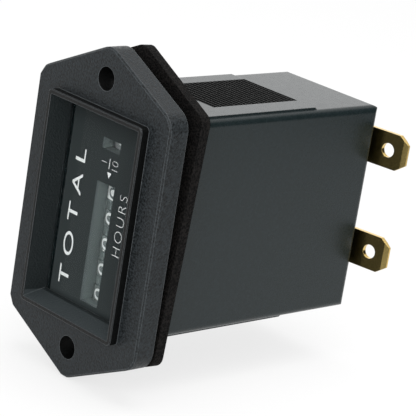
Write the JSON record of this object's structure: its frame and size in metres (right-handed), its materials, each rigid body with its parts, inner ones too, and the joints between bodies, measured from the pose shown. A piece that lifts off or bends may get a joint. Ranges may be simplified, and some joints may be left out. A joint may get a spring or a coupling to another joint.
{
  "type": "panel hour meter",
  "caption": "Panel hour meter with a two-hole flange, a recessed lens, a drum counter driven by a quartz step motor, a foam gasket and blade terminals.",
  "frame": {"origin": "middle of the flange's back face, halfway between the two screw holes", "axes": "-Y out of the dial towards the reader, +Y into the case, +Z along the row of digits from the slow end to the tenths, +X the side that the blades point to"},
  "size_m": [0.0335, 0.0578, 0.0563],
  "materials": {
    "bezel_black": "fine spark-eroded grain, moulded",
    "case_black": "smooth satin moulding",
    "gasket_foam": "closed-cell foam",
    "lens_clear": "clear moulded window",
    "dial_charcoal": "flat printed dial",
    "mask_grey": "moulded grey",
    "brass_blade": "rolled and stamped",
    "frame_plastic": "natural moulding",
    "steel": "drawn bright",
    "drum_black": "moulded, printed numerals",
    "drum_white": "moulded, printed numerals",
    "gear_plastic": "natural acetal",
    "indicator_grey": "moulded with white marks",
    "magnet": "bonded magnet",
    "stator_iron": "stamped soft iron",
    "bobbin_plastic": "moulded",
    "copper_wire": "enamelled winding wire",
    "board_green": "glass-fibre laminate",
    "chip_black": "moulded package",
    "crystal_can": "drawn can",
    "capacitor_sleeve": "shrink sleeve",
    "resistor_body": "lacquered"
  },
  "bodies": {
    "meter": {"front_bezel": "bezel_black", "panel_gasket": "gasket_foam", "rear_case": "case_black", "lens": "lens_clear", "dial_plate": "dial_charcoal", "counter_mask": "mask_grey", "terminal_upper": "brass_blade", "terminal_lower": "brass_blade", "counter_frame": "frame_plastic", "end_plate": "frame_plastic", "end_plate_screws": "steel", "drum_shaft": "steel", "pinion_shaft": "steel", "second_wheel_stud": "steel", "stator": "stator_iron", "stator_screws": "steel", "coil_core": "stator_iron", "coil_bobbin": "bobbin_plastic", "coil_winding": "copper_wire", "coil_leads": "copper_wire", "circuit_board": "board_green", "timing_chip": "chip_black", "quartz_crystal": "crystal_can", "smoothing_capacitor": "capacitor_sleeve", "reverse_diode": "chip_black", "dropper_resistor": "resistor_body"},
    "indicator": {"run_indicator": "indicator_grey"},
    "rotor": {"rotor_arbor": "gear_plastic", "rotor_magnet": "magnet"},
    "second": {"second_wheel": "gear_plastic"},
    "third": {"third_wheel": "gear_plastic"},
    "tenths": {"tenths_drum": "drum_white"},
    "units": {"units_drum": "drum_black"},
    "tens": {"tens_drum": "drum_black"},
    "hundreds": {"hundreds_drum": "drum_black"},
    "thousands": {"thousands_drum": "drum_black"},
    "units_carry": {"units_pinion": "gear_plastic"},
    "tens_carry": {"tens_pinion": "gear_plastic"},
    "hundreds_carry": {"hundreds_pinion": "gear_plastic"},
    "thousands_carry": {"thousands_pinion": "gear_plastic"}
  },
  "joints": [
    {"name": "indicator_spin", "type": "hinge", "parent": "meter", "child": "indicator", "pos_m": [-0.0003, 0.0084, 0], "axis": [0, 0, 1], "continuous": true},
    {"name": "rotor_spin", "type": "hinge", "parent": "meter", "child": "rotor", "pos_m": [0.0065, 0.00769, 0], "axis": [0, 0, 1], "continuous": true},
    {"name": "second_spin", "type": "hinge", "parent": "meter", "child": "second", "pos_m": [0.00216, 0.01333, 0], "axis": [0, 0, 1], "continuous": true},
    {"name": "third_spin", "type": "hinge", "parent": "meter", "child": "third", "pos_m": [-0.00326, 0.01474, 0], "axis": [0, 0, 1], "continuous": true},
    {"name": "tenths_spin", "type": "hinge", "parent": "meter", "child": "tenths", "pos_m": [-0.0003, 0.0084, 0], "axis": [0, 0, 1], "continuous": true},
    {"name": "units_spin", "type": "hinge", "parent": "meter", "child": "units", "pos_m": [-0.0003, 0.0084, 0], "axis": [0, 0, 1], "continuous": true},
    {"name": "tens_spin", "type": "hinge", "parent": "meter", "child": "tens", "pos_m": [-0.0003, 0.0084, 0], "axis": [0, 0, 1], "continuous": true},
    {"name": "hundreds_spin", "type": "hinge", "parent": "meter", "child": "hundreds", "pos_m": [-0.0003, 0.0084, 0], "axis": [0, 0, 1], "continuous": true},
    {"name": "thousands_spin", "type": "hinge", "parent": "meter", "child": "thousands", "pos_m": [-0.0003, 0.0084, 0], "axis": [0, 0, 1], "continuous": true},
    {"name": "units_carry_spin", "type": "hinge", "parent": "meter", "child": "units_carry", "pos_m": [-0.00326, 0.01474, 0], "axis": [0, 0, 1], "continuous": true},
    {"name": "tens_carry_spin", "type": "hinge", "parent": "meter", "child": "tens_carry", "pos_m": [-0.00326, 0.01474, 0], "axis": [0, 0, 1], "continuous": true},
    {"name": "hundreds_carry_spin", "type": "hinge", "parent": "meter", "child": "hundreds_carry", "pos_m": [-0.00326, 0.01474, 0], "axis": [0, 0, 1], "continuous": true},
    {"name": "thousands_carry_spin", "type": "hinge", "parent": "meter", "child": "thousands_carry", "pos_m": [-0.00326, 0.01474, 0], "axis": [0, 0, 1], "continuous": true}
  ],
  "couplings": [
    {"joint": "rotor_spin", "follows": "indicator_spin", "ratio": -8},
    {"joint": "second_spin", "follows": "indicator_spin", "ratio": -0.16},
    {"joint": "third_spin", "follows": "indicator_spin", "ratio": 0.026667},
    {"joint": "tenths_spin", "follows": "indicator_spin", "ratio": -0.0044444},
    {"joint": "units_spin", "follows": "indicator_spin", "ratio": -0.00044444},
    {"joint": "tens_spin", "follows": "indicator_spin", "ratio": -0.000044444},
    {"joint": "hundreds_spin", "follows": "indicator_spin", "ratio": -0.0000044444},
    {"joint": "thousands_spin", "follows": "indicator_spin", "ratio": -0.00000044444},
    {"joint": "units_carry_spin", "follows": "indicator_spin", "ratio": 0.0011111},
    {"joint": "tens_carry_spin", "follows": "indicator_spin", "ratio": 0.00011111},
    {"joint": "hundreds_carry_spin", "follows": "indicator_spin", "ratio": 0.000011111},
    {"joint": "thousands_carry_spin", "follows": "indicator_spin", "ratio": 0.0000011111}
  ]
}
